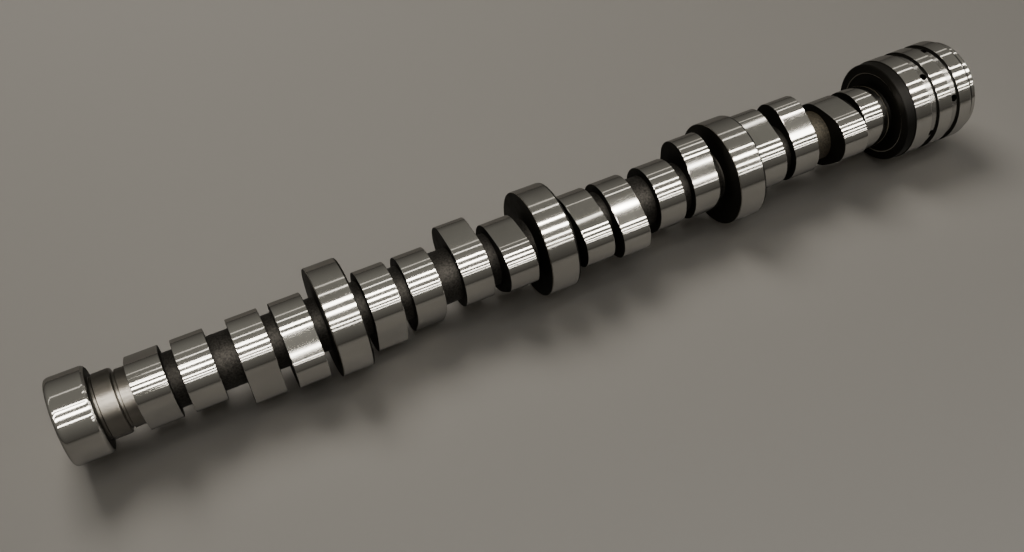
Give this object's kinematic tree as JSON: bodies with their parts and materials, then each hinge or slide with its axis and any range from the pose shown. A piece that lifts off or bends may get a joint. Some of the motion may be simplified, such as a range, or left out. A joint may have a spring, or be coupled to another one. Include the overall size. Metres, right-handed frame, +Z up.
{
  "type": "camshaft",
  "caption": "Ground steel camshaft for a V8 pushrod engine: plain bearing journals, paired cams, a small rear journal and a grooved front journal with oil holes.",
  "frame": {"origin": "centre of the small rear journal, on the shaft's axis", "axes": "+X along the shaft from the rear journal to the front face, +Z up as it lies on a surface"},
  "size_m": [0.5156, 0.0582, 0.0581],
  "materials": {
    "ground_steel": "ground bright journals and cams, dark as-forged core between them"
  },
  "bodies": {
    "root": {"camshaft": "ground_steel"}
  },
  "joints": []
}
